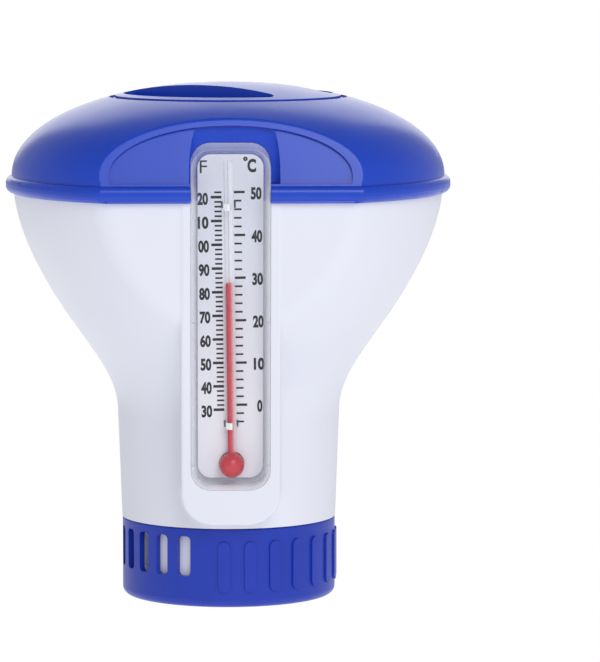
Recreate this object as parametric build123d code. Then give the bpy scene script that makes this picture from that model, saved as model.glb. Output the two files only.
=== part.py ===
"""Floating pool thermometer: a tablet float with adjustable vents and a spirit thermometer on its front.

Millimetres. The origin is the centre of the base face, +Z is up and the thermometer faces -Y.
Each function below makes one piece of the object, and each piece is written to its own file.
"""

import os
from math import atan2, cos, pi, radians, sin

from build123d import *

os.makedirs("parts", exist_ok=True)

# Whole object
HEIGHT = 118.0
BEAD_RADIUS = 51.0
WALL = 1.6
GAP = 0.3  # between parts that move past each other
FIT = 0.05  # radial clearance of a running fit

# Blue cap
SEAM_Z = 93.0  # where the cap meets the bowl
BEAD_TOP_Z = 96.8
DOME_RADIUS = 49.65
DOME_POWER = 2.06  # a little squarer than an ellipse
CAP_WALL = 1.8
SEAL_WIDTH = 1.2
SEAL_HEIGHT = 1.4
BEAD_CHORD_Y = -41.7  # flat front of the bead
FACET_Y = -40.4  # flat front of the dome, at the top of the bead
FACET_LEAN = 15.1  # degrees that the dome's front leans back
LIP_WIDTH = 1.3
LIP_ROUND = 0.9
FACET_INSET = 0.9
CHANNEL_WIDTH = 20.2  # upright recess above and beside the thermometer case
CHANNEL_SIDE = 0.9  # how far its middle lies towards +X
CHANNEL_BACK_Y = -35.6
CHANNEL_CORNER = 3.0
BEAD_ROUND = 1.6
FINGER_RADIUS = 24.0
FINGER_CHORD = 9.6  # half the width of the bar between the finger pockets
FINGER_FLOOR_Z = 106.0
FINGER_ANGLES = (233.0, 53.0)  # where the two pockets face, seen from above
GROOVE_RADII = (25.9, 27.3)
GROOVE_DEPTH = 0.6
TETHER_RADIUS = 2.25
TETHER_Z = 111.2

# White bowl and neck: radius and height of the outside, from the neck's end to the cap
BOWL_OUTLINE = [
    (25.5, 43.0),
    (26.8, 49.0),
    (30.7, 56.0),
    (37.2, 65.3),
    (42.8, 74.5),
    (47.0, 83.8),
    (49.2, SEAM_Z),
]
NECK_RADIUS = 24.6
NECK_END_Z = 18.15
SPIGOT_RADIUS = 47.4
SPIGOT_HEIGHT = 3.4

# Flat front of the bowl, which carries the pad and the thermometer case
FACE_TILT = 8.5  # degrees, the bottom lies nearer the axis
FACE_Y = -40.2  # at FACE_Z
FACE_Z = 92.0
PAD_WIDTH = 22.3
PAD_BOTTOM_Z = 19.5
PAD_CORNER = 7.5
PAD_RAISE = 0.25
PAD_ROOT = 12.0  # how far the pad reaches back into the neck's wall
PAD_HIGH = 4.0  # the pad's top, above FACE_Z along the face and hidden by the cap
PAD_BLEND = 2.5  # rounding where the pad's sides meet the neck
PAD_EDGE = 0.7
FACE_BLEND = 8.0  # rounding where the flat front meets the bowl

# Thermometer case and what it holds, measured on the tilted face
CASE_WIDTH = 17.7
CASE_LENGTH = 78.1
CASE_TOP_Z = 105.1
CASE_CORNER = 4.5
CASE_PROUD = 1.0
CASE_DEPTH = 8.6
CASE_WALL = 1.45
CASE_EDGE = 1.0  # rounding of the case's front edge
LENS_FRONT = 1.4
BACK_PLATE = 1.0
BACK_FRAME = 0.7
CARD_THICK = 0.4
CARD_TOP = 2.2  # distances down the face from the case's top
CARD_CORNER = 3.0
TUBE_RADIUS = 1.2
BORE_RADIUS = 0.86
SPIRIT_GAP = 0.03
BULB_RADIUS = 3.0
BULB_WALL = 0.14
BULB_ROOM = 0.1  # between the bulb and the front of the case
TUBE_LEAN = 0.75  # degrees that the tube's top leans towards -X
TUBE_SIDE = 0.3  # how far the bulb's centre lies towards +X
TUBE_TOP = 3.5
BULB_DROP = 73.3
SPIRIT_TOP = 31.3
CLIP_DROPS = {"tube_clip_upper": 13.6, "tube_clip_lower": 63.9}
CLIP_HEIGHT = 1.5
CLIP_THICK = 0.35

# Bulkhead between the air chamber and the tablet chamber
LEDGE_Z = 48.0
LEDGE_RADIUS = 21.8
LEDGE_THICK = 1.6
BULKHEAD_RADIUS = 23.9
BULKHEAD_SEAL = 0.8
RIB_RING = (12.0, 10.6)  # radii of the bulkhead's stiffening ring
RIB_RING_HEIGHT = 3.0

# Vent cup and tablet cage
CUP_RADIUS = 24.5
CUP_TOP_Z = 18.0
CUP_WALL = 1.4
CUP_FLOOR = 1.6
PITCH = 360 / 26  # degrees between slots or ribs
SLOT_WIDTH = 3.3
SLOT_CORNER = 1.1
SLOT_Z = (7.0, 16.2)
SLOT_ANGLES = [-25.5 - place * PITCH for place in range(11)]  # from the front towards +X
RIB_ANGLES = [-3.3 + place * PITCH for place in range(12)]
RIB_WIDTH = 2.7
RIB_Z = (3.6, 15.1)
RIB_PROUD = 0.45
CAGE_RADIUS = CUP_RADIUS - CUP_WALL - GAP
CAGE_WALL = 1.4
CAGE_FLOOR_Z = CUP_FLOOR + GAP
CAGE_FLOOR = 1.4
CAGE_TOP_Z = 26.0
WINDOW_ANGLES = [angle - 2.0 for angle in SLOT_ANGLES[2:]]  # the vents are set nearly full open
HUB_RADIUS = 3.5
RIVET_HEAD_RADIUS = 5.5
RIVET_HEAD = 1.2
RIVET_SHANK = 1.5
STOP_ORBIT = 14.0
STOP_RADIUS = 1.2
STOP_ANGLE = 60.0  # where the stop lug stands, seen from above
VENT_RANGE = (-28.0, 117.0)  # degrees that the cup turns from where it stands

face = Plane(
    (0, FACE_Y, FACE_Z),
    x_dir=(1, 0, 0),
    z_dir=(0, -cos(radians(FACE_TILT)), -sin(radians(FACE_TILT))),
)
facet = Plane(
    (0, FACET_Y, BEAD_TOP_Z),
    x_dir=(1, 0, 0),
    z_dir=(0, -cos(radians(FACET_LEAN)), sin(radians(FACET_LEAN))),
)
case_top = (CASE_TOP_Z - FACE_Z) / cos(radians(FACE_TILT))
tube_depth = CASE_PROUD - LENS_FRONT - BULB_RADIUS - BULB_ROOM
card_front = tube_depth - TUBE_RADIUS - 0.05


def on_face(drop, out=0.0):
    """Place on the tilted face, drop below the case's top and out from the face."""
    return face * Pos(0, case_top - drop, out)


def on_tube(drop, out):
    """Place on the tube's line, which leans a little about the bulb's centre."""
    return on_face(BULB_DROP, out) * Pos(TUBE_SIDE, 0, 0) * Rot(0, 0, TUBE_LEAN) * Pos(0, BULB_DROP - drop, 0)


def ahead_of(plane, out=0.0):
    """Everything in front of a plane, moved out from it."""
    return plane * Pos(0, 0, out) * Box(300, 300, 80, align=(Align.CENTER, Align.CENTER, Align.MIN))


def slab(low_z, high_z):
    """Everything between two heights."""
    return Pos(0, 0, low_z) * Box(300, 300, high_z - low_z, align=(Align.CENTER, Align.CENTER, Align.MIN))


def turned(edges):
    """A closed outline of radius and height, turned about the vertical axis."""
    return revolve(Plane.XZ * make_face(edges), Axis.Z, 360)


def ring(outer, inner, low_z, high_z):
    """A plain round ring, or a disc where the inner radius is 0."""
    height = high_z - low_z
    made = Cylinder(outer, height, align=(Align.CENTER, Align.CENTER, Align.MIN))
    if inner:
        made -= Cylinder(inner, height, align=(Align.CENTER, Align.CENTER, Align.MIN))
    return Pos(0, 0, low_z) * made


def flat_fronted(radius, chord_y, low_z, high_z, corner=0.0):
    """A disc with its front cut off flat at chord_y."""
    sketch = Circle(radius) - Pos(0, chord_y - radius) * Rectangle(4 * radius, 2 * radius)
    if corner:
        sketch = fillet(sketch.vertices(), corner)
    return Pos(0, 0, low_z) * extrude(sketch, high_z - low_z)


def dome(inset, low_z):
    """The cap's domed solid, smaller all over by inset and flat at low_z."""
    radius = DOME_RADIUS - inset
    rise = HEIGHT - inset - BEAD_TOP_Z
    points = []
    for step in range(9):
        angle = step * pi / 16
        points.append((
            radius * max(cos(angle), 0.0) ** (2 / DOME_POWER),
            BEAD_TOP_Z + rise * sin(angle) ** (2 / DOME_POWER),
        ))
    points[-1] = (0.0, BEAD_TOP_Z + rise)
    side = Line((radius, low_z), points[0])
    crown = Spline(*points, tangents=[(0, 1), (-1, 0)], tangent_scalars=[1, 1])
    return turned(side + crown + Polyline(points[-1], (0, low_z), (radius, low_z)))


def bowl_solid(inset, low_z, high_z):
    """The bowl and neck filled in, smaller all over by inset."""
    outline = [(NECK_RADIUS + 0.1, NECK_END_Z + 4)] + BOWL_OUTLINE + [(49.6, SEAM_Z + 4)]
    points = []
    for before, here, after in zip(outline, outline[1:], outline[2:]):
        slope = atan2(after[0] - before[0], after[1] - before[1])
        points.append((here[0] - inset * cos(slope), here[1] + inset * sin(slope)))
    neck_end = (NECK_RADIUS - inset, low_z)
    wall = Line(neck_end, points[0]) + Spline(*points)
    top = points[-1][1]
    shape = turned(wall + Polyline(points[-1], (0, top), (0, low_z), neck_end))
    return shape & slab(low_z, high_z)


def case_block(grow, low_out, high_out):
    """The outline of the thermometer case, larger all round by grow, between two depths on the face."""
    outline = RectangleRounded(CASE_WIDTH + 2 * grow, CASE_LENGTH + 2 * grow, CASE_CORNER + grow)
    return on_face(CASE_LENGTH / 2, low_out) * extrude(outline, high_out - low_out)


def round_slot(width, corner, z_range, inner, outer, angle):
    """An upright block with rounded corners between two radii, at an angle from the front towards +X."""
    tall = z_range[1] - z_range[0]
    block = extrude(RectangleRounded(width, tall, corner), outer - inner)
    upright = Plane((0, -inner, sum(z_range) / 2), x_dir=(1, 0, 0), z_dir=(0, -1, 0))
    return Rot(0, 0, angle) * (upright * block)


def finger_segment(angle, grow, low_z, high_z):
    """One finger pocket's plan, a segment of a circle, between two heights."""
    near = FINGER_CHORD - grow
    plan = Circle(FINGER_RADIUS + grow) & Pos(near + 50, 0) * Rectangle(100, 100)
    plan = fillet(plan.vertices(), 2.0 + grow)
    return Pos(0, 0, low_z) * Rot(0, 0, angle) * extrude(plan, high_z - low_z)


def top_cap():
    """Blue lid: dome, bead, front facet with a rounded lip, two finger pockets and a tether tunnel."""
    skin = dome(0, SEAM_Z) - ahead_of(facet)
    skin = fillet(skin.edges().filter_by(on_facet_arch), LIP_ROUND)
    cavity = dome(CAP_WALL, SEAM_Z) - ahead_of(facet, -FACET_INSET - CAP_WALL) - channel_block(CAP_WALL)
    pocket_back = CASE_PROUD - CASE_DEPTH - GAP / 2
    housings = case_block(WALL, pocket_back - WALL, 0)
    tunnel = Pos(0, 0, TETHER_Z) * Rot(0, 0, FINGER_ANGLES[1]) * Rot(0, 90, 0)
    housings += tunnel * Cylinder(TETHER_RADIUS + CAP_WALL, 2 * FINGER_CHORD)
    for angle in FINGER_ANGLES:
        housings += finger_segment(angle, CAP_WALL, FINGER_FLOOR_Z - CAP_WALL, HEIGHT)
    cap = skin - (cavity - housings)

    bead = flat_fronted(BEAD_RADIUS, BEAD_CHORD_Y, SEAM_Z, BEAD_TOP_Z, corner=2.0)
    rims = bead.faces().sort_by(Axis.Z)[0].edges() + bead.faces().sort_by(Axis.Z)[-1].edges()
    bead = fillet(rims, BEAD_ROUND)
    bead -= flat_fronted(SPIGOT_RADIUS + FIT, FACE_Y + CAP_WALL, SEAM_Z - 1, BEAD_TOP_Z + 1)
    cap += bead
    rebate_top = SEAM_Z + SPIGOT_HEIGHT + FIT
    rebate = flat_fronted(SPIGOT_RADIUS + FIT, FACE_Y + CAP_WALL - FIT, SEAM_Z - 1, rebate_top)
    cap -= rebate - housings

    inside_lip = dome(LIP_WIDTH, SEAM_Z) & slab(BEAD_TOP_Z + 0.4, HEIGHT)
    cap -= inside_lip & ahead_of(facet, -FACET_INSET)
    cap -= inside_lip & channel_block(0)
    cap -= case_block(0.1, pocket_back, 30)
    for angle in FINGER_ANGLES:
        cap -= finger_segment(angle, 0, FINGER_FLOOR_Z, HEIGHT + 5)
    cap -= tunnel * Cylinder(TETHER_RADIUS, 2 * FINGER_CHORD + 4)
    groove = ring(GROOVE_RADII[1], GROOVE_RADII[0], SEAM_Z, HEIGHT)
    cap -= groove - dome(GROOVE_DEPTH, SEAM_Z)
    cap -= seal_space(FIT)
    return cap


def on_facet_arch(edge):
    """True for an edge that lies along the arch where the dome meets its flat front."""
    middle = edge @ 0.5
    from_plane = facet.to_local_coords(middle).Z
    return abs(from_plane) < 0.01 and middle.Z > BEAD_TOP_Z + 1


def on_face_outline(edge):
    """True for the edge where the bowl meets its flat front."""
    middle = edge @ 0.5
    return abs(face.to_local_coords(middle).Z) < 0.01 and middle.Z < SEAM_Z - 0.5


def on_pad_root(edge):
    """True for a curved edge where the pad's sides and bottom meet the bowl and neck."""
    middle = face.to_local_coords(edge @ 0.5)
    beside_pad = -PAD_ROOT < middle.Z < -1.0 and abs(middle.X) < PAD_WIDTH / 2 + 0.1
    return beside_pad and (edge @ 0.5).Z > NECK_END_Z + 0.5 and edge.geom_type != GeomType.LINE


def channel_block(grow):
    """The upright recess in the middle of the facet, with rounded back corners, larger by grow."""
    depth = 30.0
    block = Box(CHANNEL_WIDTH + 2 * grow, depth, HEIGHT, align=(Align.CENTER, Align.MAX, Align.MIN))
    block = fillet(block.edges().filter_by(Axis.Z).sort_by(Axis.Y)[-2:], CHANNEL_CORNER)
    return Pos(CHANNEL_SIDE, CHANNEL_BACK_Y + grow, 0) * block


def seal_space(grow):
    """The D-shaped ring that the cap's seal fills."""
    radius = SPIGOT_RADIUS + SEAL_WIDTH + grow
    chord_y = FACE_Y + CAP_WALL - 1.0 - grow
    outside = flat_fronted(radius, chord_y, SEAM_Z, SEAM_Z + SEAL_HEIGHT + grow)
    return outside - flat_fronted(SPIGOT_RADIUS, FACE_Y + CAP_WALL, SEAM_Z - 1, SEAM_Z + 3)


def clear_of_case(shape):
    """Takes the thermometer case's room out of a ring round the top of the bowl."""
    return shape - case_block(0.2, -CASE_DEPTH - WALL, 30)


def cap_seal():
    """Rubber ring that keeps water out of the air chamber."""
    return clear_of_case(seal_space(0))


def hopper_shell():
    """White bowl and neck in one moulding, with the flat front, the raised pad and the case pocket."""
    solid = bowl_solid(0, NECK_END_Z, SEAM_Z) - ahead_of(face)
    solid = fillet(solid.edges().filter_by(on_face_outline), FACE_BLEND)
    pad_low = (PAD_BOTTOM_Z - FACE_Z) / cos(radians(FACE_TILT))
    outline = Pos(0, (pad_low + PAD_HIGH) / 2) * Rectangle(PAD_WIDTH, PAD_HIGH - pad_low)
    outline = fillet(outline.vertices().sort_by(Axis.Y)[:2], PAD_CORNER)
    pad = extrude(outline, PAD_ROOT + PAD_RAISE)
    pad = fillet(pad.faces().sort_by(Axis.Z)[-1].edges(), PAD_EDGE)
    pad = face * Pos(0, 0, -PAD_ROOT) * pad
    solid += pad & slab(PAD_BOTTOM_Z - 2, SEAM_Z)
    solid = fillet(solid.edges().filter_by(on_pad_root), PAD_BLEND)

    inside = bowl_solid(WALL, NECK_END_Z - 1, SEAM_Z) - ahead_of(face, -WALL)
    inside &= slab(NECK_END_Z - 1, SEAM_Z - 2.2)
    neck_room = ring(NECK_RADIUS - WALL, 0, NECK_END_Z - 1, LEDGE_Z - LEDGE_THICK)
    ledge = ring(30, LEDGE_RADIUS, LEDGE_Z - LEDGE_THICK, LEDGE_Z)
    pocket_back = CASE_PROUD - CASE_DEPTH - GAP / 2
    housing = case_block(WALL, pocket_back - WALL, 0)
    shell = solid - ((inside + neck_room) - ledge - housing)

    spigot = flat_fronted(SPIGOT_RADIUS, FACE_Y + CAP_WALL, SEAM_Z - 3, SEAM_Z + SPIGOT_HEIGHT)
    spigot -= flat_fronted(SPIGOT_RADIUS - WALL, FACE_Y + CAP_WALL + WALL, SEAM_Z - 4, SEAM_Z + 9)
    mouth = flat_fronted(SPIGOT_RADIUS - WALL, FACE_Y + CAP_WALL + WALL, SEAM_Z - 3, SEAM_Z + 1)
    shell = (shell - (mouth - housing)) + clear_of_cap(spigot)
    return shell - case_block(0.1, pocket_back, 30)


def clear_of_cap(spigot):
    """Opens the spigot where the cap's own pocket for the case comes down inside it."""
    pocket_back = CASE_PROUD - CASE_DEPTH - GAP / 2
    above = slab(SEAM_Z, SEAM_Z + 20)
    return spigot - (case_block(WALL + 0.2, pocket_back - WALL - 0.2, 30) & above)


def lens_case():
    """Clear front of the thermometer case, open at its back."""
    back = CASE_PROUD - CASE_DEPTH + BACK_PLATE
    block = RectangleRounded(CASE_WIDTH, CASE_LENGTH, CASE_CORNER)
    block = extrude(block, CASE_PROUD - back)
    block = fillet(block.faces().sort_by(Axis.Z)[-1].edges(), CASE_EDGE)
    block = on_face(CASE_LENGTH / 2, back) * block
    return block - case_block(-CASE_WALL, back - 1, CASE_PROUD - LENS_FRONT)


def case_back():
    """Clear rear plate, with the raised frame that the card lies on."""
    back = CASE_PROUD - CASE_DEPTH
    plate = case_block(0, back, back + BACK_PLATE)
    frame = case_block(-CASE_WALL - FIT, back + BACK_PLATE, card_front - CARD_THICK)
    frame -= case_block(-CASE_WALL - BACK_FRAME, back + BACK_PLATE, 0)
    return plate + frame


def scale_card():
    """Printed card, with a hole for the bulb and slots for the clips' legs."""
    margin = CASE_WALL + 0.1
    length = CASE_LENGTH - margin - CARD_TOP
    outline = RectangleRounded(CASE_WIDTH - 2 * margin, length, CARD_CORNER)
    card = on_face(CARD_TOP + length / 2, card_front - CARD_THICK) * extrude(outline, CARD_THICK)
    card -= on_tube(BULB_DROP, card_front) * Cylinder(BULB_RADIUS - 0.1, 4)
    for drop in CLIP_DROPS.values():
        for side in (-1, 1):
            leg = Pos(side * (TUBE_RADIUS + FIT + CLIP_THICK / 2), 0, 0)
            card -= on_tube(drop, card_front) * leg * Box(CLIP_THICK + 0.1, CLIP_HEIGHT + 0.1, 3)
    return card


def tube_solid(tube_radius, bulb_radius, top_drop):
    """A rod down to the bulb's centre, with the ball on its end."""
    length = BULB_DROP - top_drop
    rod = on_tube(top_drop + length / 2, tube_depth) * Rot(90, 0, 0) * Cylinder(tube_radius, length)
    return rod + on_tube(BULB_DROP, tube_depth) * Sphere(bulb_radius)


def glass_tube():
    """Sealed capillary with the bulb blown at its lower end."""
    outside = tube_solid(TUBE_RADIUS, BULB_RADIUS, TUBE_TOP)
    return outside - tube_solid(BORE_RADIUS, BULB_RADIUS - BULB_WALL, TUBE_TOP + 1.2)


def spirit_column():
    """Red spirit in the bulb and up the bore."""
    return tube_solid(BORE_RADIUS - SPIRIT_GAP, BULB_RADIUS - BULB_WALL - SPIRIT_GAP, SPIRIT_TOP)


def tube_clip(drop):
    """White saddle over the tube, with legs through the card."""
    inner = TUBE_RADIUS + FIT
    outer = inner + CLIP_THICK
    over = Circle(outer) - Circle(inner)
    over &= Pos(0, outer) * Rectangle(4 * outer, 2 * outer)
    reach = tube_depth - card_front + CARD_THICK + 0.4
    for side in (-1, 1):
        over += Pos(side * (inner + CLIP_THICK / 2), -reach / 2) * Rectangle(CLIP_THICK, reach)
    saddle = extrude(over, CLIP_HEIGHT / 2, both=True)
    return on_tube(drop, tube_depth) * Rot(90, 0, 0) * saddle


def bulkhead_seal():
    """Rubber ring under the bulkhead."""
    return ring(BULKHEAD_RADIUS - 0.2, LEDGE_RADIUS + 0.4, LEDGE_Z, LEDGE_Z + BULKHEAD_SEAL)


def bulkhead():
    """Disc with a stiffening rib ring, which closes the air chamber above the tablets."""
    low = LEDGE_Z + BULKHEAD_SEAL
    disc = ring(BULKHEAD_RADIUS, 0, low, low + WALL)
    return disc + ring(*RIB_RING, low + WALL, low + WALL + RIB_RING_HEIGHT)


def tablet_cage():
    """White sleeve with windows, a floor, and the spigot that plugs into the neck."""
    sleeve = ring(CAGE_RADIUS, CAGE_RADIUS - CAGE_WALL, CAGE_FLOOR_Z, CAGE_TOP_Z)
    sleeve += ring(CAGE_RADIUS - 0.5, 0, CAGE_FLOOR_Z, CAGE_FLOOR_Z + CAGE_FLOOR)
    sleeve -= ring(HUB_RADIUS + FIT, 0, 0, 10)
    for angle in WINDOW_ANGLES:
        sleeve -= round_slot(SLOT_WIDTH, SLOT_CORNER, SLOT_Z, CAGE_RADIUS - 4, CAGE_RADIUS + 2, angle)
    start = STOP_ANGLE + VENT_RANGE[0]
    arc = CenterArc((0, 0), STOP_ORBIT, start, VENT_RANGE[1] - VENT_RANGE[0])
    sleeve -= Pos(0, 0, CAGE_FLOOR_Z - 1) * extrude(SlotArc(arc, 2 * STOP_RADIUS + 1.0), 4)
    return sleeve


def vent_cup():
    """Blue slotted cup with a closed floor, raised grip ribs, a hub and a stop lug."""
    cup = ring(CUP_RADIUS, 0, 0, CUP_TOP_Z)
    cup = fillet(cup.edges().sort_by(Axis.Z)[0], 1.8)
    cup = fillet(cup.edges().sort_by(Axis.Z)[-1], 0.3)
    cup -= ring(CUP_RADIUS - CUP_WALL, 0, CUP_FLOOR, CUP_TOP_Z + 1)
    for angle in RIB_ANGLES:
        rib = round_slot(RIB_WIDTH, RIB_WIDTH / 2 - 0.01, RIB_Z, CUP_RADIUS - 1.0, CUP_RADIUS + 4, angle)
        cup += rib & ring(CUP_RADIUS + RIB_PROUD, CUP_RADIUS - 1.0, 0, CUP_TOP_Z)
    for angle in SLOT_ANGLES:
        cup -= round_slot(SLOT_WIDTH, SLOT_CORNER, SLOT_Z, CUP_RADIUS - 4, CUP_RADIUS + 2, angle)
    cup += ring(HUB_RADIUS, RIVET_SHANK, CUP_FLOOR, CAGE_FLOOR_Z + CAGE_FLOOR + GAP)
    lug = ring(STOP_RADIUS, 0, CUP_FLOOR, CAGE_FLOOR_Z + CAGE_FLOOR)
    cup += Rot(0, 0, STOP_ANGLE) * Pos(STOP_ORBIT, 0, 0) * lug
    return cup


def centre_rivet():
    """Snap rivet pressed into the cup's hub, whose head keeps the cage down on the cup."""
    under_head = CAGE_FLOOR_Z + CAGE_FLOOR + GAP
    shank = ring(RIVET_SHANK, 0, CUP_FLOOR, under_head)
    head = ring(RIVET_HEAD_RADIUS, 0, under_head, under_head + RIVET_HEAD)
    return shank + fillet(head.edges().sort_by(Axis.Z)[-1], 0.8)


pieces = {
    "top_cap": top_cap,
    "cap_seal": cap_seal,
    "hopper_shell": hopper_shell,
    "bulkhead": bulkhead,
    "bulkhead_seal": bulkhead_seal,
    "lens_case": lens_case,
    "case_back": case_back,
    "scale_card": scale_card,
    "glass_tube": glass_tube,
    "spirit_column": spirit_column,
    "tablet_cage": tablet_cage,
    "vent_cup": vent_cup,
    "centre_rivet": centre_rivet,
}
for name, make in pieces.items():
    export_step(make(), f"parts/{name}.step")
for name, drop in CLIP_DROPS.items():
    export_step(tube_clip(drop), f"parts/{name}.step")
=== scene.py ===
# %% [markdown]
# # Floating pool thermometer
# The object is a float about the size of a hand. A blue cap and a white bowl hold the air that
# keeps it up, a spirit thermometer in a clear case reads the water, and a slotted cup at the
# bottom turns round a cage of tablets. All of these are exact solids that are loaded first. This
# notebook gives each one its finish, and adds what is only as thick as a coat of ink: the printed
# scale.

# %% Load the solids
from math import atan2, cos, degrees, radians, sin

import bmesh
import bpy
from mathutils import Matrix, Vector


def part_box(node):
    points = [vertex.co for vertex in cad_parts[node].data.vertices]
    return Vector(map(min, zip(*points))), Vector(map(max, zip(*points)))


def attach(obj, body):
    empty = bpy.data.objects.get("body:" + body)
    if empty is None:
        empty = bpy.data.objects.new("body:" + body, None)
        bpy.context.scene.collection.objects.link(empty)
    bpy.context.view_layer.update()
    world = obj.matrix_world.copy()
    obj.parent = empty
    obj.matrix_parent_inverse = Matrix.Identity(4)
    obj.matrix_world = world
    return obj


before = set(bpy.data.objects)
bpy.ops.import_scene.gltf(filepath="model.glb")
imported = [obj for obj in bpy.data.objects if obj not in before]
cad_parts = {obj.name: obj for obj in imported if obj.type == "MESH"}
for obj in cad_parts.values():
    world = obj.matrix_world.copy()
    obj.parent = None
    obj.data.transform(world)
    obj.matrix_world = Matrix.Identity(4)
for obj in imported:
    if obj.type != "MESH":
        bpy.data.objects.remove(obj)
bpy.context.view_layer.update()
MM = 0.001
print("solids:", ", ".join(sorted(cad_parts)))

# %% [markdown]
# ## The camera
# The float stands upright and is seen from a little above, from about a metre away, through a long
# lens. A long lens keeps the cap's rim nearly straight. The camera goes in first, so that every
# later piece can be looked at as soon as it is made.

# %% Camera
camera_data = bpy.data.cameras.new("long_lens")
camera_data.lens = 244.8
camera_data.sensor_width = 36
camera = bpy.data.objects.new("camera", camera_data)
camera.location = (-0.0144, -1.0322, 0.1635)
camera.rotation_euler = (radians(90 - 5.69), 0, radians(-1.714))
bpy.context.scene.collection.objects.link(camera)
bpy.context.scene.camera = camera
bpy.context.scene.view_settings.view_transform = "Standard"
print("camera at", tuple(camera.location), "lens", camera_data.lens, "mm")

# %% [markdown]
# ## A short way to write a material
# A material is a tree of nodes, and a tree built by hand is hard to read back. Two small classes
# make it read like arithmetic. `Value` wraps one number socket, so that `grain * 0.3 + 0.2` adds
# two Math nodes. `Finish` starts a material and has one method, `node`, that adds any other node:
# first its settings, then what goes into its sockets.

# %% Value and Finish
class Value:
    """One number in a material. Arithmetic on it adds Math nodes."""

    def __init__(self, finish, socket):
        self.finish = finish
        self.socket = socket

    def maths(self, operation, *numbers):
        sockets = dict(enumerate(numbers))
        node = self.finish.node("ShaderNodeMath", {"operation": operation}, sockets)
        return Value(self.finish, node.outputs[0])

    def __add__(self, other):
        return self.maths("ADD", self, other)

    def __radd__(self, other):
        return self.maths("ADD", other, self)

    def __sub__(self, other):
        return self.maths("SUBTRACT", self, other)

    def __rsub__(self, other):
        return self.maths("SUBTRACT", other, self)

    def __mul__(self, other):
        return self.maths("MULTIPLY", self, other)

    def __truediv__(self, other):
        return self.maths("DIVIDE", self, other)

    def __pow__(self, other):
        return self.maths("POWER", self, other)

    def __abs__(self):
        return self.maths("ABSOLUTE", self)

    def larger(self, other):
        return self.maths("MAXIMUM", self, other)

    def smaller(self, other):
        return self.maths("MINIMUM", self, other)

    def clipped(self):
        """The same number kept between 0 and 1."""
        return self.larger(0.0).smaller(1.0)


class Finish:
    """A material in the making, with its output node and its object coordinates."""

    def __init__(self, name):
        self.material = bpy.data.materials.new(name)
        self.material.use_nodes = True
        self.tree = self.material.node_tree
        self.tree.nodes.clear()
        self.output = self.node("ShaderNodeOutputMaterial")
        self.place = self.node("ShaderNodeTexCoord").outputs["Object"]

    def node(self, kind, settings=None, inputs=None):
        """Adds a node, sets it up, then fills its sockets with values or links."""
        made = self.tree.nodes.new(kind)
        for name, setting in (settings or {}).items():
            setattr(made, name, setting)
        for name, given in (inputs or {}).items():
            given = given.socket if isinstance(given, Value) else given
            if isinstance(given, bpy.types.NodeSocket):
                self.tree.links.new(given, made.inputs[name])
            else:
                made.inputs[name].default_value = given
        return made

    def noise(self, size, detail=2.0, stretch=(1, 1, 1)):
        """Cloudy noise from 0 to 1, with lumps of about the given size in metres."""
        where = self.node("ShaderNodeMapping", {}, {"Vector": self.place, "Scale": stretch})
        made = self.node(
            "ShaderNodeTexNoise",
            {},
            {"Vector": where.outputs[0], "Scale": 1 / size, "Detail": detail, "Roughness": 0.5},
        )
        return Value(self, made.outputs["Fac"])

    def along(self, direction, start=0.0):
        """How far a point lies along a direction, in metres, counted from start."""
        sockets = {0: self.place, 1: tuple(direction)}
        made = self.node("ShaderNodeVectorMath", {"operation": "DOT_PRODUCT"}, sockets)
        return Value(self, made.outputs["Value"]) - start

    def blend(self, share, first, second):
        """A colour between two colours."""
        mix = self.node("ShaderNodeMix", {"data_type": "RGBA"}, {0: share, 6: first, 7: second})
        return mix.outputs[2]

    def bumps(self, height, depth):
        """Turns heights from 0 to 1 into a bumped surface, depth metres deep."""
        sockets = {"Height": height, "Strength": 1.0, "Distance": depth}
        made = self.node("ShaderNodeBump", {}, sockets)
        return made.outputs[0]

    def surface(self, inputs):
        """The main shader, joined to the output."""
        shader = self.node("ShaderNodeBsdfPrincipled", {}, inputs)
        self.tree.links.new(shader.outputs[0], self.output.inputs["Surface"])
        return shader


print("a Value adds Math nodes, a Finish holds the rest")

# %% [markdown]
# ## Moulded plastic
# The cap, the bowl and the cup are injection moulded. Such a surface is never one flat tone. The
# melt leaves slow waves in the gloss where it cooled unevenly, the mould's polish shows as a very
# fine grain, and the colour drifts by a percent or two. An image could hold these marks, but noise
# in the shader has no seams and stays sharp at any distance, so one function makes all the moulded
# plastics from it. Only the numbers differ.

# %% Moulded plastic
def moulded_plastic(name, light, dark, gloss, grain_depth, wave_depth, clouds=0.02, **constants):
    """Plastic from a polished mould: colour drift, uneven gloss, slow waves and fine grain."""
    finish = Finish(name)
    drift = finish.noise(clouds, 3.0)
    flow = finish.noise(0.012, 2.0, stretch=(1, 1, 0.35))
    grain = finish.noise(0.00035, 2.0)
    colour = finish.blend((drift * 1.6 - 0.3).clipped(), (*dark, 1), (*light, 1))
    roughness = gloss + (flow - 0.5) * 0.10 + (grain - 0.5) * 0.05
    height = flow * (wave_depth / grain_depth) + grain
    finish.surface(
        {
            "Base Color": colour,
            "Roughness": roughness,
            "Normal": finish.bumps(height, grain_depth),
            **constants,
        }
    )
    return finish.material


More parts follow.
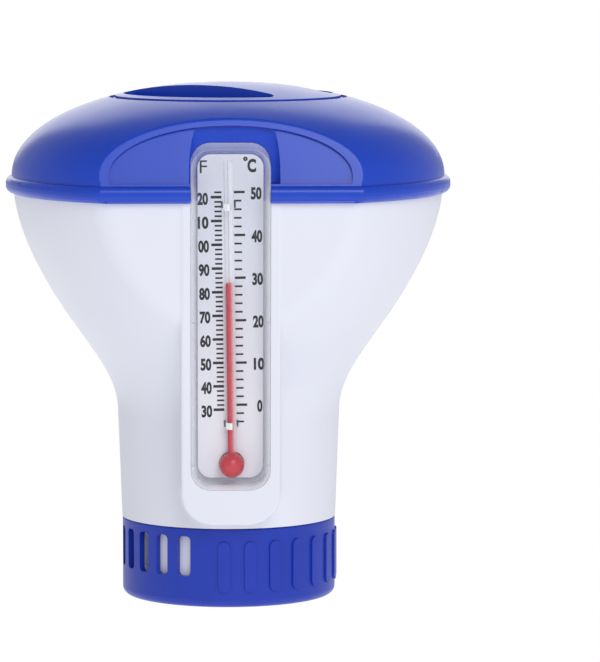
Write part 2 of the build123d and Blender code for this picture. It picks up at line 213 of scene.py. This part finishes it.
cap_blue = moulded_plastic(
    "cap_blue",
    light=(0.006, 0.060, 0.57),
    dark=(0.004, 0.050, 0.52),
    gloss=0.30,
    grain_depth=0.000003,
    wave_depth=0.00002,
    **{"Specular IOR Level": 0.43, "Coat Weight": 0.09, "Coat Roughness": 0.16},
)
cup_blue = moulded_plastic(
    "cup_blue",
    light=(0.010, 0.042, 0.46),
    dark=(0.007, 0.034, 0.40),
    gloss=0.36,
    grain_depth=0.000005,
    wave_depth=0.00002,
    clouds=0.008,
    **{"Specular IOR Level": 0.4},
)
bowl_white = moulded_plastic(
    "bowl_white",
    light=(0.80, 0.81, 0.90),
    dark=(0.77, 0.78, 0.88),
    gloss=0.38,
    grain_depth=0.000004,
    wave_depth=0.00003,
    clouds=0.03,
    **{"Specular IOR Level": 0.4},
)
rivet_white = moulded_plastic(
    "rivet_white",
    light=(0.90, 0.90, 0.92),
    dark=(0.84, 0.84, 0.87),
    gloss=0.25,
    grain_depth=0.000002,
    wave_depth=0.000004,
    clouds=0.002,
)
print("moulded plastics:", cap_blue.name, cup_blue.name, bowl_white.name, rivet_white.name)

# %% [markdown]
# ## Rubber for the two seals
# The seals are dull black rubber with a talc bloom, the grey dust left from the mould. A dark base
# with a rough surface already reads as rubber, and a patchy grey over it reads as the bloom.

# %% Seal rubber
def bloomed_rubber():
    """Black rubber with patches of grey bloom and a fine orange-peel surface."""
    finish = Finish("seal_rubber")
    bloom = (finish.noise(0.004, 4.0) * 3.0 - 1.3).clipped()
    peel = finish.noise(0.0004, 3.0)
    colour = finish.blend(bloom * 0.35, (0.018, 0.018, 0.020, 1), (0.11, 0.11, 0.115, 1))
    finish.surface(
        {
            "Base Color": colour,
            "Roughness": 0.68 + bloom * 0.2,
            "Normal": finish.bumps(peel, 0.00002),
            "Specular IOR Level": 0.35,
        }
    )
    return finish.material


seal_rubber = bloomed_rubber()
print("rubber:", seal_rubber.name)

# %% [markdown]
# ## Where the card lies
# The scale is printed on the card, and the card leans back with the bowl's front. Its plane is
# read from the card's own mesh: the biggest faces that look forward. Down the card is measured
# from the top of the clear case. The tube leans a fraction of a degree about its bulb, and the
# print leans a little more, turned about its topmost mark.

# %% The card's plane
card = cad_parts["scale_card"].data
front = max((f for f in card.polygons if f.normal.y < -0.9), key=lambda f: f.area)
outward = front.normal.normalized()
upward = (Vector((0, 0, 1)) - outward * outward.z).normalized()
card_level = max(v.co.dot(outward) for v in card.vertices)
case_top = max(v.co.dot(upward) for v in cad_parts["lens_case"].data.vertices)
case_foot = min(v.co.dot(upward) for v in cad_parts["lens_case"].data.vertices)

glass = [v.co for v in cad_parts["glass_tube"].data.vertices]
bulb_radius = (max(v.x for v in glass) - min(v.x for v in glass)) / 2
bulb_x = max(v.x for v in glass) - bulb_radius
bulb_up = min(v.dot(upward) for v in glass) + bulb_radius
tube_end = max(v.dot(upward) for v in glass)
tips = [v for v in glass if tube_end - v.dot(upward) < 0.05 * MM]
tip_x = (max(v.x for v in tips) + min(v.x for v in tips)) / 2
tube_radius = (max(v.x for v in tips) - min(v.x for v in tips)) / 2
lean = atan2(bulb_x - tip_x, tube_end - bulb_up)
spirit_up = max(v.co.dot(upward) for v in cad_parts["spirit_column"].data.vertices)
print("case", round((case_top - case_foot) / MM, 2), "mm long, tube leans", round(degrees(lean), 2))
print("bulb at", round(bulb_x / MM, 2), "mm, radius", round(bulb_radius / MM, 2), "mm")
print("tube radius", round(tube_radius / MM, 2), "mm")

CELSIUS_TOP = 10.75 * MM  # where 50 degrees stands, down from the case's top
PRINT_LEAN = radians(0.33)  # how much more the print leans than the tube


def on_card(right, drop, out=0.0):
    """A point on the card: right of the tube's line, and down from the case's top, in metres."""
    above_bulb = case_top - drop - bulb_up
    right = right + (drop - CELSIUS_TOP) * sin(PRINT_LEAN)
    x = bulb_x + right * cos(lean) - above_bulb * sin(lean)
    z = bulb_up + right * sin(lean) + above_bulb * cos(lean)
    return Vector((x, 0, 0)) + upward * z + outward * (card_level + out)


def card_matrix(right, drop, out=0.0):
    """Turns a flat shape drawn in X and Y so that it lies on the card at that point."""
    across = Vector((1, 0, 0)) * cos(lean) + upward * sin(lean)
    along = upward * cos(lean) - Vector((1, 0, 0)) * sin(lean)
    turn = Matrix((across, along, outward)).transposed().to_4x4()
    return Matrix.Translation(on_card(right, drop, out)) @ turn


# %% [markdown]
# ## Clear plastic and glass
# The case is clear moulded plastic and the tube is drawn glass. Real bending of light through the
# case would be exact but dark, because lamps can't be found through bent light, and a game or a
# web page would lose it. So both are made as clear films: almost nothing over the window, with
# painted light where the wall stands edge on, in place of the light that a real wall catches,
# and more painted light in the white bowl than in the blue cap, to lift the shade of the deep
# pocket behind the wall. The tube's sides carry a painted highlight and its empty bore two
# painted dark lines. The wall is found from the case's own outline, a rounded rectangle, whose
# distance is worked out from the object coordinates.

# %% Clear plastic and glass
WALL_WIDE = 1.5 * MM
OUTLINE_CORNER = 4.5 * MM
RIM_WIDE = 0.22 * MM  # the width of the painted highlight along the case's outer edge
BOWL_DROP = 8 * MM  # below this the case lies in the white bowl, and above it in the blue cap
BOWL_BLEND = 4 * MM
BORE_EDGE = 0.42 * MM  # where the painted dark lines beside the empty bore stand
BORE_EDGE_WIDE = 0.12 * MM
CLIP_CORE = 0.62 * MM  # the part of a clip that crosses the tube
CLIP_BLEND = 0.18 * MM
# the half width of the painted shade down a clip's middle
CLIP_GROOVE = 0.14 * MM
case_half_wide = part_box("lens_case")[1].x
case_half_long = (case_top - case_foot) / 2
tube_right = Vector((1, 0, 0)) * cos(lean) + upward * sin(lean)
tube_up = upward * cos(lean) - Vector((1, 0, 0)) * sin(lean)


def clear_case():
    """Clear plastic with painted light on its walls and rim, and a nearly invisible window."""
    finish = Finish("case_clear")
    aside = abs(finish.along((1, 0, 0))) - (case_half_wide - OUTLINE_CORNER)
    down = abs(finish.along(upward, case_top - case_half_long)) - (case_half_long - OUTLINE_CORNER)
    corner = (aside.larger(0.0) ** 2 + down.larger(0.0) ** 2) ** 0.5
    inside = OUTLINE_CORNER - corner - aside.larger(down).smaller(0.0)
    # painted light: the wall and its outer rim are made whiter and more opaque by position
    wall_painted_light = (1.15 - inside / WALL_WIDE).clipped()
    rim_painted_highlight = (1.0 - inside / RIM_WIDE).clipped()
    # painted light: the wall is made milkier in the white bowl, to lift the shade of the pocket
    # behind it
    bowl_painted_light = ((case_top - finish.along(upward) - BOWL_DROP) / BOWL_BLEND).clipped()
    ripple = finish.noise(0.006, 2.0)
    finish.surface(
        {
            "Base Color": finish.blend(wall_painted_light, (0.90, 0.91, 0.97, 1), (0.92, 0.93, 0.99, 1)),
            "Roughness": 0.07 + ripple * 0.05,
            "IOR": 1.49,
            "Alpha": 0.012 + wall_painted_light * (0.18 + bowl_painted_light * 0.27 + ripple * 0.08) + rim_painted_highlight * 0.35,
            "Normal": finish.bumps(ripple, 0.00001),
            "Coat Weight": 0.5,
        }
    )
    return finish.material


def clear_glass():
    """Drawn glass with a painted highlight at its edges, and two painted dark lines where the bore
    is empty.
    """
    finish = Finish("tube_glass")
    aside = abs(finish.along(tube_right, bulb_x))
    above = finish.along(upward)
    stem = ((above - (bulb_up + bulb_radius)) / MM).clipped()
    empty = ((above - spirit_up) / (0.3 * MM)).clipped()
    # painted highlight: a whiter, more opaque film towards the tube's sides
    edge_painted_highlight = ((aside / tube_radius) ** 3).clipped() * stem
    # painted dark lines standing in for the empty bore's wall seen through the glass
    bore_painted_dark_line = (1.0 - abs(aside - BORE_EDGE) / BORE_EDGE_WIDE).clipped() * empty
    finish.surface(
        {
            "Base Color": finish.blend(bore_painted_dark_line, (0.93, 0.94, 0.98, 1), (0.10, 0.10, 0.13, 1)),
            "Roughness": 0.05,
            "IOR": 1.47,
            "Alpha": 0.02 + edge_painted_highlight * 0.30 + bore_painted_dark_line * 0.22,
            "Coat Weight": 0.5,
        }
    )
    return finish.material


def frosted_clip():
    """The tube's clips: white where they cross the tube, partly their own white and partly painted
    highlight, with painted shade down their middle, and nearly clear beside it.
    """
    finish = Finish("clip_white")
    aside = abs(finish.along(tube_right, bulb_x))
    # where a clip crosses the tube: partly the clip's own white, partly painted highlight
    white_core_and_highlight = (1.0 - (aside - CLIP_CORE) / CLIP_BLEND).clipped()
    # painted shade down the clip's middle, as in a groove
    groove_painted_shade = (1.0 - aside / CLIP_GROOVE).clipped()
    finish.surface(
        {
            "Base Color": finish.blend(groove_painted_shade * 0.5, (0.95, 0.95, 0.97, 1), (0.55, 0.55, 0.60, 1)),
            "Roughness": 0.2 + white_core_and_highlight * 0.1,
            "Alpha": 0.07 + white_core_and_highlight * 0.80,
        }
    )
    return finish.material


case_clear = clear_case()
tube_glass = clear_glass()
clip_white = frosted_clip()
print("clear:", case_clear.name, tube_glass.name, clip_white.name)

# %% [markdown]
# ## Spirit, card and ink
# The spirit is dyed red, a little unevenly. The card is silvery white, coated on its front, with
# paper fibre just showing. The ink is screen printed: nearly black with a little blue, and
# slightly uneven, as a squeegee leaves it.

# %% Spirit, card and ink
def dyed_spirit():
    """Red spirit, deeper where the dye has settled."""
    finish = Finish("red_spirit")
    settled = finish.noise(0.002, 3.0)
    finish.surface(
        {
            "Base Color": finish.blend(settled, (0.46, 0.006, 0.024, 1), (0.62, 0.018, 0.040, 1)),
            "Roughness": 0.14 + settled * 0.10,
            "Specular IOR Level": 0.28,
        }
    )
    return finish.material


def coated_card():
    """Silvery card with a satin coat over faint fibre, darker towards the top and paler towards the
    bulb.
    """
    finish = Finish("printed_card")
    fibre = finish.noise(0.0003, 4.0, stretch=(1, 1, 0.3))
    mottle = finish.noise(0.005, 3.0)
    down = (case_top - finish.along(upward)) / (case_top - case_foot)
    shade = (0.1 + down * 1.1 + (mottle - 0.5) * 0.2).clipped()
    finish.surface(
        {
            "Base Color": finish.blend(shade, (0.60, 0.62, 0.72, 1), (0.80, 0.80, 0.87, 1)),
            "Roughness": 0.40 + fibre * 0.12,
            "Normal": finish.bumps(fibre, 0.000006),
        }
    )
    return finish.material


def screen_ink():
    """Dark ink with the slight unevenness of screen printing."""
    finish = Finish("screen_ink")
    patch = finish.noise(0.0006, 3.0)
    finish.surface(
        {
            "Base Color": finish.blend(patch, (0.003, 0.003, 0.008, 1), (0.010, 0.010, 0.020, 1)),
            "Roughness": 0.45 + patch * 0.2,
            "Normal": finish.bumps(patch, 0.000005),
        }
    )
    return finish.material


red_spirit = dyed_spirit()
printed_card = coated_card()
ink = screen_ink()
print("in the case:", red_spirit.name, printed_card.name, ink.name)

# %% [markdown]
# ## Finishes onto the solids
# Each solid came with a plain stand-in material in one slot. Putting the new finish into that slot
# changes the look and leaves the shape alone. The clear pieces also cast no shadow and let
# scattered light pass, as real clear ones nearly do, so that the card inside them is lit like the
# bowl.

# %% Finishes onto the solids
NODE_FINISHES = {
    "top_cap": cap_blue,
    "cap_seal": seal_rubber,
    "hopper_shell": bowl_white,
    "bulkhead": bowl_white,
    "bulkhead_seal": seal_rubber,
    "lens_case": case_clear,
    "case_back": case_clear,
    "scale_card": printed_card,
    "glass_tube": tube_glass,
    "spirit_column": red_spirit,
    "tube_clip_upper": clip_white,
    "tube_clip_lower": clip_white,
    "tablet_cage": bowl_white,
    "vent_cup": cup_blue,
    "centre_rivet": rivet_white,
}
for name, finish in NODE_FINISHES.items():
    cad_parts[name].material_slots[0].material = finish
for name in ("lens_case", "case_back", "glass_tube"):
    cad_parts[name].visible_shadow = False
    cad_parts[name].visible_diffuse = False
print(len(NODE_FINISHES), "solids finished")

# %% [markdown]
# ## The marks of the two scales
# The left scale reads degrees Fahrenheit and the right one Celsius, with a mark every two degrees
# and a longer one every ten. Seventy-five marks placed by hand would be seventy-five chances to
# slip. A Geometry Nodes tree draws one short mark and one long one, sets them down a line of
# points, and picks the long one wherever the mark's number fits. The same tree serves both scales.

# %% The tree that sets out a scale's marks
INK_THICK = 0.02 * MM


def mark_ladder_tree():
    """Builds the tree: a line of points, with a short or a long mark on each."""
    tree = bpy.data.node_groups.new("mark_ladder", "GeometryNodeTree")
    face = tree.interface
    for name, kind in (
        ("Marks", "NodeSocketInt"),
        ("Pitch", "NodeSocketFloat"),
        ("Long Every", "NodeSocketInt"),
        ("Long Start", "NodeSocketInt"),
        ("Short Length", "NodeSocketFloat"),
        ("Short Thickness", "NodeSocketFloat"),
        ("Long Length", "NodeSocketFloat"),
        ("Long Thickness", "NodeSocketFloat"),
        ("Side", "NodeSocketFloat"),
        ("Ink Thickness", "NodeSocketFloat"),
        ("Ink", "NodeSocketMaterial"),
    ):
        face.new_socket(name, in_out="INPUT", socket_type=kind)
    face.new_socket("Geometry", in_out="OUTPUT", socket_type="NodeSocketGeometry")

    def node(kind, settings=None, inputs=None):
        made = tree.nodes.new(kind)
        for name, setting in (settings or {}).items():
            setattr(made, name, setting)
        for name, given in (inputs or {}).items():
            if isinstance(given, bpy.types.NodeSocket):
                tree.links.new(given, made.inputs[name])
            else:
                made.inputs[name].default_value = given
        return made

    def maths(operation, first, second):
        return node("ShaderNodeMath", {"operation": operation}, {0: first, 1: second}).outputs[0]

    given = node("NodeGroupInput").outputs
    step_down = maths("MULTIPLY", given["Pitch"], -1.0)
    offset = node("ShaderNodeCombineXYZ", {}, {"Y": step_down})
    line = node("GeometryNodeMeshLine", {}, {"Count": given["Marks"], "Offset": offset.outputs[0]})

    def mark(length, thickness):
        """One inked bar whose inner end is on the line."""
        size = node(
            "ShaderNodeCombineXYZ", {}, {"X": length, "Y": thickness, "Z": given["Ink Thickness"]}
        )
        bar = node("GeometryNodeMeshCube", {}, {"Size": size.outputs[0]}).outputs["Mesh"]
        aside = maths("MULTIPLY", maths("MULTIPLY", length, 0.5), given["Side"])
        shift = node("ShaderNodeCombineXYZ", {}, {"X": aside}).outputs[0]
        return node("GeometryNodeTransform", {}, {"Geometry": bar, "Translation": shift}).outputs[0]

    number = node("GeometryNodeInputIndex").outputs[0]
    counted = maths("SUBTRACT", number, given["Long Start"])
    left_over = maths("FLOORED_MODULO", counted, given["Long Every"])
    is_long = maths("LESS_THAN", left_over, 0.5)
    is_short = maths("SUBTRACT", 1.0, is_long)
    short_marks = node(
        "GeometryNodeInstanceOnPoints",
        {},
        {
            "Points": line.outputs["Mesh"],
            "Selection": is_short,
            "Instance": mark(given["Short Length"], given["Short Thickness"]),
        },
    )
    long_marks = node(
        "GeometryNodeInstanceOnPoints",
        {},
        {
            "Points": line.outputs["Mesh"],
            "Selection": is_long,
            "Instance": mark(given["Long Length"], given["Long Thickness"]),
        },
    )
    both = node("GeometryNodeJoinGeometry")
    tree.links.new(short_marks.outputs[0], both.inputs[0])
    tree.links.new(long_marks.outputs[0], both.inputs[0])
    real = node("GeometryNodeRealizeInstances", {}, {"Geometry": both.outputs[0]})
    inked = node(
        "GeometryNodeSetMaterial", {}, {"Geometry": real.outputs[0], "Material": given["Ink"]}
    )
    tree.links.new(inked.outputs[0], node("NodeGroupOutput").inputs[0])
    return tree


mark_ladder = mark_ladder_tree()
print("tree:", mark_ladder.name, "with", len(mark_ladder.nodes), "nodes")


# %% [markdown]
# A tree does nothing until an object carries it. This helper puts the tree on an empty mesh, sets
# its inputs by their identifiers, and keeps the evaluated result as a plain mesh with nothing live
# left on it. It is then laid on the card, so that its object stays at the origin.

# %% Print a scale's marks
def plain_object(name, mesh, body):
    """Links a finished mesh, and says what it rides on."""
    piece = bpy.data.objects.new(name, mesh)
    bpy.context.scene.collection.objects.link(piece)
    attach(piece, body)
    return piece


def from_tree(name, tree, settings):
    """The mesh that a Geometry Nodes tree makes with these settings."""
    carrier = bpy.data.objects.new(name, bpy.data.meshes.new(name))
    bpy.context.scene.collection.objects.link(carrier)
    modifier = carrier.modifiers.new(name, "NODES")
    modifier.node_group = tree
    for item in tree.interface.items_tree:
        if item.in_out == "INPUT" and item.name in settings:
            modifier[item.identifier] = settings[item.name]
    evaluated = carrier.evaluated_get(bpy.context.evaluated_depsgraph_get())
    mesh = bpy.data.meshes.new_from_object(evaluated)
    carrier.modifiers.remove(modifier)
    bpy.data.objects.remove(carrier)
    mesh.name = name
    return mesh


def print_marks(name, top, right, settings):
    """Lays one scale's marks on the card, with their inner ends right of the tube's line."""
    mesh = from_tree(name, mark_ladder, {**settings, "Ink Thickness": INK_THICK, "Ink": ink})
    mesh.transform(card_matrix(right, top, INK_THICK / 2))
    piece = plain_object(name, mesh, "float")
    print(name, len(mesh.polygons) // 6, "marks")
    return piece


CELSIUS_STEP = 9.77 * MM  # ten degrees
FAHRENHEIT_STEP = CELSIUS_STEP / 1.8
print_marks(
    "marks_fahrenheit",
    CELSIUS_TOP,
    -1.5 * MM,
    {
        "Marks": 47,
        "Pitch": FAHRENHEIT_STEP / 5,
        "Long Every": 5,
        "Long Start": 1,
        "Short Length": 1.6 * MM,
        "Short Thickness": 0.41 * MM,
        "Long Length": 2.4 * MM,
        "Long Thickness": 0.62 * MM,
        "Side": -1.0,
    },
)
print_marks(
    "marks_celsius",
    CELSIUS_TOP,
    1.25 * MM,
    {
        "Marks": 28,
        "Pitch": CELSIUS_STEP / 5,
        "Long Every": 5,
        "Long Start": 0,
        "Short Length": 1.65 * MM,
        "Short Thickness": 0.41 * MM,
        "Long Length": 2.4 * MM,
        "Long Thickness": 0.56 * MM,
        "Side": 1.0,
    },
)

# %% [markdown]
# ## Numerals and unit letters
# A text object is drawn as curves, and it is the easy way to get well-shaped figures. Its width
# depends on its letters, so each word is turned into a mesh first and then fitted to the width and
# height that the print has. The left column has lost its leading ones: the card was trimmed there,
# so 120 reads as 20, which is how such a card leaves the factory.

# %% Numerals and unit letters
def inked_word(word, width, height, weight):
    """A word as a thin closed mesh, centred, with exactly that width and height."""
    text = bpy.data.curves.new(word, "FONT")
    text.body = word
    text.resolution_u = 4
    text.offset = weight
    text.extrude = 0.5
    writer = bpy.data.objects.new(word, text)
    bpy.context.scene.collection.objects.link(writer)
    evaluated = writer.evaluated_get(bpy.context.evaluated_depsgraph_get())
    mesh = bpy.data.meshes.new_from_object(evaluated)
    bpy.data.objects.remove(writer)
    low = Vector([min(v.co[axis] for v in mesh.vertices) for axis in range(3)])
    high = Vector([max(v.co[axis] for v in mesh.vertices) for axis in range(3)])
    size = high - low
    fitted = Matrix.Diagonal((width / size.x, height / size.y, INK_THICK / size.z, 1))
    mesh.transform(fitted @ Matrix.Translation(-(low + high) / 2))
    return mesh


def print_words(name, words):
    """Inks a list of (word, right, drop, width, height, weight) as one piece."""
    column = bmesh.new()
    for word, right, drop, width, height, weight in words:
        mesh = inked_word(word, width, height, weight)
        mesh.transform(card_matrix(right, drop, INK_THICK / 2))
        column.from_mesh(mesh)
    bmesh.ops.remove_doubles(column, verts=column.verts, dist=0.0005 * MM)
    bmesh.ops.recalc_face_normals(column, faces=column.faces)
    mesh = bpy.data.meshes.new(name)
    column.to_mesh(mesh)
    column.free()
    mesh.materials.append(ink)
    piece = plain_object(name, mesh, "float")
    print(name, " ".join(word[0] for word in words), len(mesh.polygons), "faces")
    return piece


FIGURE_TALL = 2.85 * MM
FIGURE_WIDE = 1.2 * MM
FIGURE_WEIGHT = 0.045
SIT_LOW = 0.35 * MM  # the figures are printed a little below their marks
FAHRENHEIT_RIGHT = -5.7 * MM  # the columns' middles, right of the tube
CELSIUS_RIGHT = 6.2 * MM

fahrenheit = []
for place, figures in enumerate(("20", "10", "00", "90", "80", "70", "60", "50", "40", "30")):
    drop = CELSIUS_TOP + FAHRENHEIT_STEP * (place + 0.2) + SIT_LOW
    wide = FIGURE_WIDE * len(figures)
    fahrenheit.append((figures, FAHRENHEIT_RIGHT, drop, wide, FIGURE_TALL, FIGURE_WEIGHT))
print_words("numerals_fahrenheit", fahrenheit)

celsius = []
for place, figures in enumerate(("50", "40", "30", "20", "10", "0")):
    drop = CELSIUS_TOP + CELSIUS_STEP * place + SIT_LOW
    wide = FIGURE_WIDE * len(figures)
    celsius.append((figures, CELSIUS_RIGHT, drop, wide, FIGURE_TALL, FIGURE_WEIGHT))
print_words("numerals_celsius", celsius)

print_words(
    "unit_letters",
    [
        ("F", -5.4 * MM, 4.9 * MM, 1.6 * MM, 2.9 * MM, 0.0),
        ("C", 5.33 * MM, 4.8 * MM, 1.94 * MM, 3.1 * MM, 0.045),
        ("o", 3.95 * MM, 3.25 * MM, 1.0 * MM, 1.0 * MM, 0.08),
    ],
)

# %% [markdown]
# ## Witness marks on the case
# Where the mould's ejector pins pressed, the case's front has two pairs of short ridges at its
# side edges. They are far thinner than the case's wall, so they are drawn here and ride on the
# float.

# %% Witness marks
def small_ridges(name, places, size):
    """Short ridges on the case's front: a box at each (x, drop, out) place."""
    ridges = bmesh.new()
    turn = Matrix((Vector((1, 0, 0)), upward, outward)).transposed().to_4x4()
    for x, drop, out in places:
        middle = Vector((x, 0, 0)) + upward * (case_top - drop) + outward * out
        placed = Matrix.Translation(middle) @ turn @ Matrix.Diagonal((*size, 1))
        bmesh.ops.create_cube(ridges, size=1.0, matrix=placed)
    mesh = bpy.data.meshes.new(name)
    ridges.to_mesh(mesh)
    ridges.free()
    mesh.materials.append(ridge_clear)
    piece = plain_object(name, mesh, "float")
    piece.visible_shadow = False
    print(name, len(places), "ridges")
    return piece


ridge_finish = Finish("ridge_clear")
ridge_finish.surface({"Base Color": (0.45, 0.47, 0.54, 1), "Roughness": 0.25, "Alpha": 0.5})
ridge_clear = ridge_finish.material
case_front = max(v.co.dot(outward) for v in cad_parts["lens_case"].data.vertices)
WITNESS_DROPS = (39.2 * MM, 72.2 * MM)
WITNESS_IN = 0.75 * MM  # from the case's side to a ridge's middle
WITNESS_SIZE = (1.3 * MM, 0.22 * MM, 0.06 * MM)
small_ridges(
    "witness_marks",
    [
        (side * (case_half_wide - WITNESS_IN), drop, case_front)
        for side in (-1, 1)
        for drop in WITNESS_DROPS
    ],
    WITNESS_SIZE,
)

# %% [markdown]
# ## Light
# The float hangs in an even white room with no floor near it, so that the cage has room to come
# out of the neck and nothing hides it. A softbox behind gives the cap's top its pale sheen, a
# second one above and in front lights the facets, and the room itself fills the sides. The camera
# sees the room as plain white, while the light that it gives is weaker, so that the white bowl
# keeps its shading.

# %% The room
room = bpy.data.worlds.new("white_room")
bpy.context.scene.world = room
room.use_nodes = True
room.node_tree.nodes.clear()
BAND_LIGHT = 0.49  # the room's light near the horizon
ZENITH_LIGHT = 0.30
FLOOR_LIGHT = 0.60  # what a pale floor far below would add


def room_node(kind, inputs=None):
    """Adds a node to the room's tree."""
    made = room.node_tree.nodes.new(kind)
    for name, given in (inputs or {}).items():
        if isinstance(given, bpy.types.NodeSocket):
            room.node_tree.links.new(given, made.inputs[name])
        else:
            made.inputs[name].default_value = given
    return made


seen = room_node("ShaderNodeLightPath").outputs["Is Camera Ray"]
direction = room_node("ShaderNodeTexCoord").outputs["Generated"]
height = room_node("ShaderNodeSeparateXYZ", {0: direction}).outputs["Z"]


def between(low, high, at_low, at_high):
    """Light that goes from one strength to another between two heights of the direction."""
    ends = {"From Min": low, "From Max": high, "To Min": at_low, "To Max": at_high}
    return room_node("ShaderNodeMapRange", {"Value": height, **ends}).outputs[0]


fall = between(0.25, 0.75, BAND_LIGHT, ZENITH_LIGHT)
from_below = between(-0.25, 0.0, FLOOR_LIGHT, 0.0)
strength = room_node("ShaderNodeMath", {0: fall, 1: from_below}).outputs[0]
glow = room_node("ShaderNodeBackground", {"Color": (0.97, 0.98, 1.0, 1), "Strength": strength})
plain = room_node("ShaderNodeBackground", {"Color": (1, 1, 1, 1), "Strength": 1.0})
chosen = room_node("ShaderNodeMixShader", {0: seen, 1: glow.outputs[0], 2: plain.outputs[0]})
room_node("ShaderNodeOutputWorld", {"Surface": chosen.outputs[0]})
print("room light from", BAND_LIGHT, "at the horizon to", ZENITH_LIGHT, "overhead")

# %% Softboxes
def softbox(name, place, aim, size, watts):
    """A square lamp that faces the point it is aimed at."""
    lamp = bpy.data.lights.new(name, "AREA")
    lamp.size = size
    lamp.energy = watts
    stand = bpy.data.objects.new(name, lamp)
    stand.location = place
    stand.rotation_euler = (Vector(aim) - Vector(place)).to_track_quat("-Z", "Y").to_euler()
    bpy.context.scene.collection.objects.link(stand)


middle = (0, 0, 0.06)
softbox("front", (0.42, -1.30, 0.98), middle, 0.9, 11.5)
softbox("back_low", (0.0, 1.70, 0.75), middle, 1.3, 6.5)
print("lamps:", [light.name for light in bpy.data.lights])
